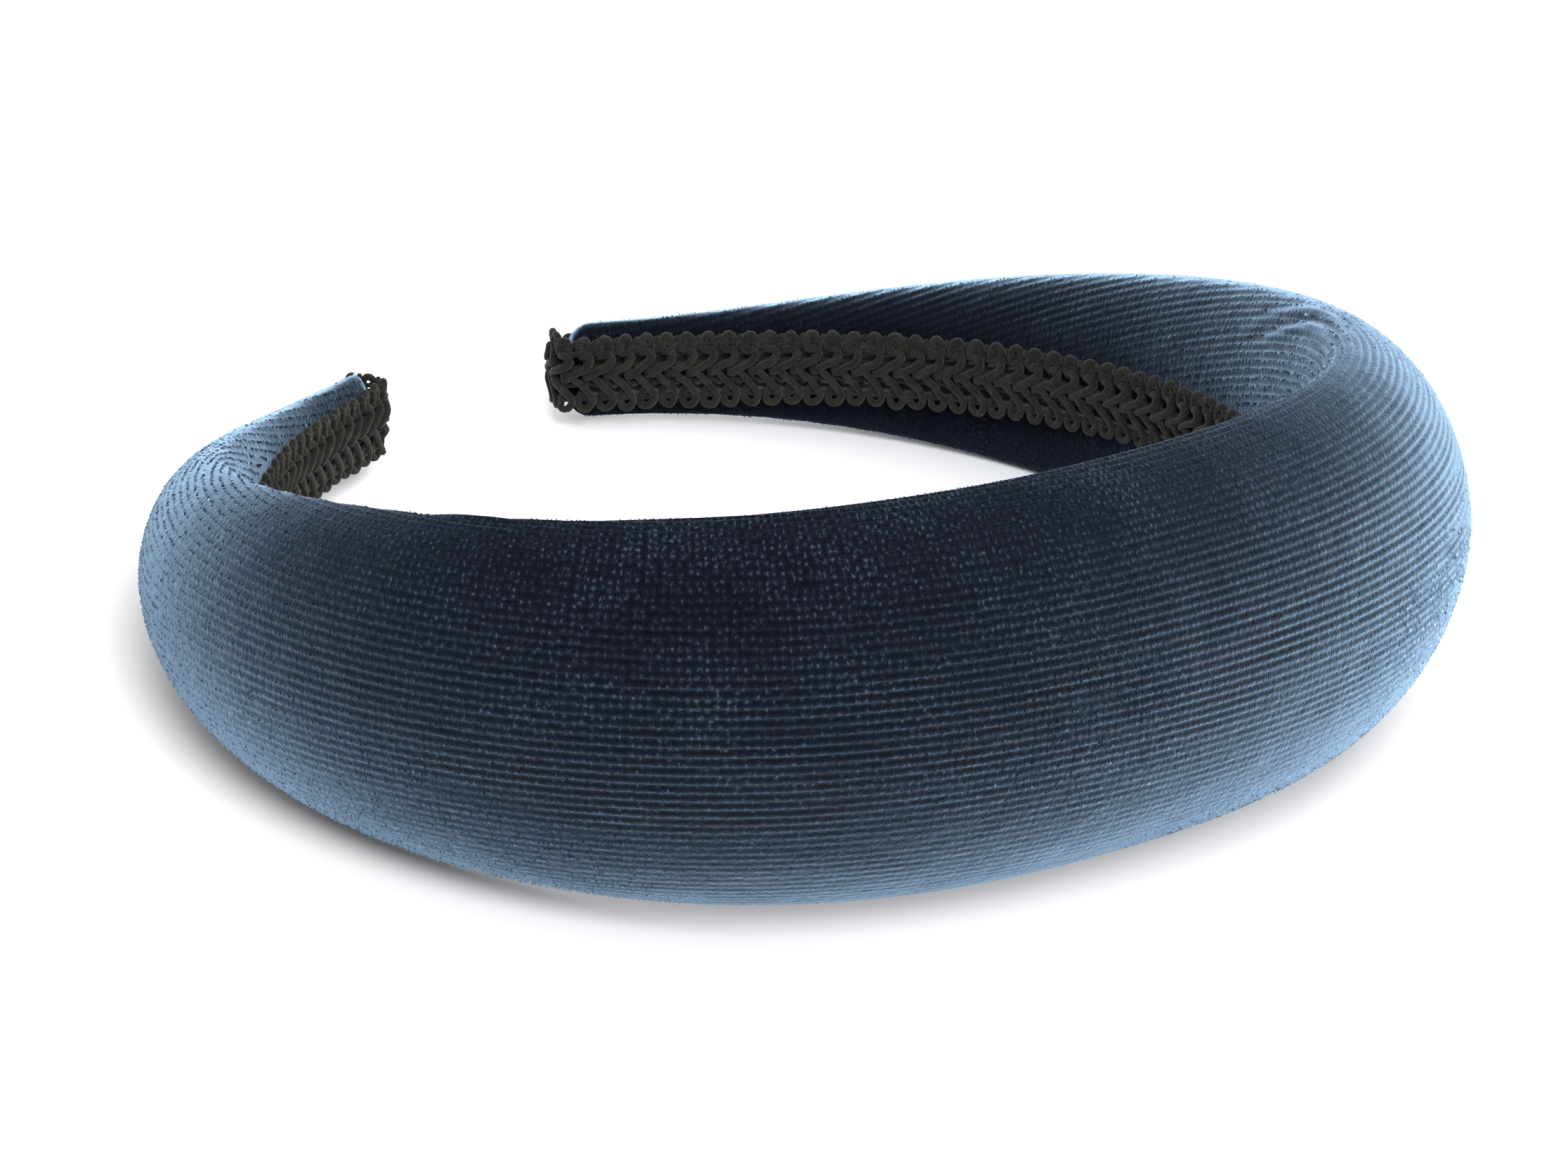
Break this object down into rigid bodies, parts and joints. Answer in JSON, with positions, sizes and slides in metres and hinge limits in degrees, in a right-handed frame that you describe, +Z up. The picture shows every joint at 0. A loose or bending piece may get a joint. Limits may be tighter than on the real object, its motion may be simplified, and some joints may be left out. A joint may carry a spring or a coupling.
{
  "type": "padded headband",
  "caption": "Padded velvet headband: a springy curved band with a domed foam crown that narrows to slim tips, lined with gimp braid.",
  "frame": {"origin": "centre of the bounding box at floor level, with the headband lying on a flat surface on its crown's lower edge and its tips' lower edges", "axes": "+X across the band from the left arm to the right arm, +Y from the crown towards the tips, +Z up"},
  "size_m": [0.1682, 0.1412, 0.0504],
  "materials": {
    "velvet": "navy stretch velvet with a short ribbed pile",
    "foam": "open-cell upholstery foam",
    "core_plastic": "moulded springy plastic, satin",
    "dried_glue": "dried black glue film",
    "braid": "charcoal gimp braid of twisted cords"
  },
  "bodies": {
    "left_half": {"left_core_band": "core_plastic", "left_foam_glue": "dried_glue", "left_foam_pad": "foam", "left_velvet_cover": "velvet", "left_upper_hem_glue": "dried_glue", "left_lower_hem_glue": "dried_glue", "left_braid_glue": "dried_glue", "left_gimp_braid": "braid"},
    "right_half": {"right_core_band": "core_plastic", "right_foam_glue": "dried_glue", "right_foam_pad": "foam", "right_velvet_cover": "velvet", "right_upper_hem_glue": "dried_glue", "right_lower_hem_glue": "dried_glue", "right_braid_glue": "dried_glue", "right_gimp_braid": "braid"}
  },
  "joints": [
    {"name": "crown_flex", "type": "hinge", "parent": "left_half", "child": "right_half", "pos_m": [0, -0.07035, 0.02964], "axis": [0, -0.1643, -0.9864], "range_deg": [0, 20], "stiffness_Nm_per_rad": 1.2}
  ]
}
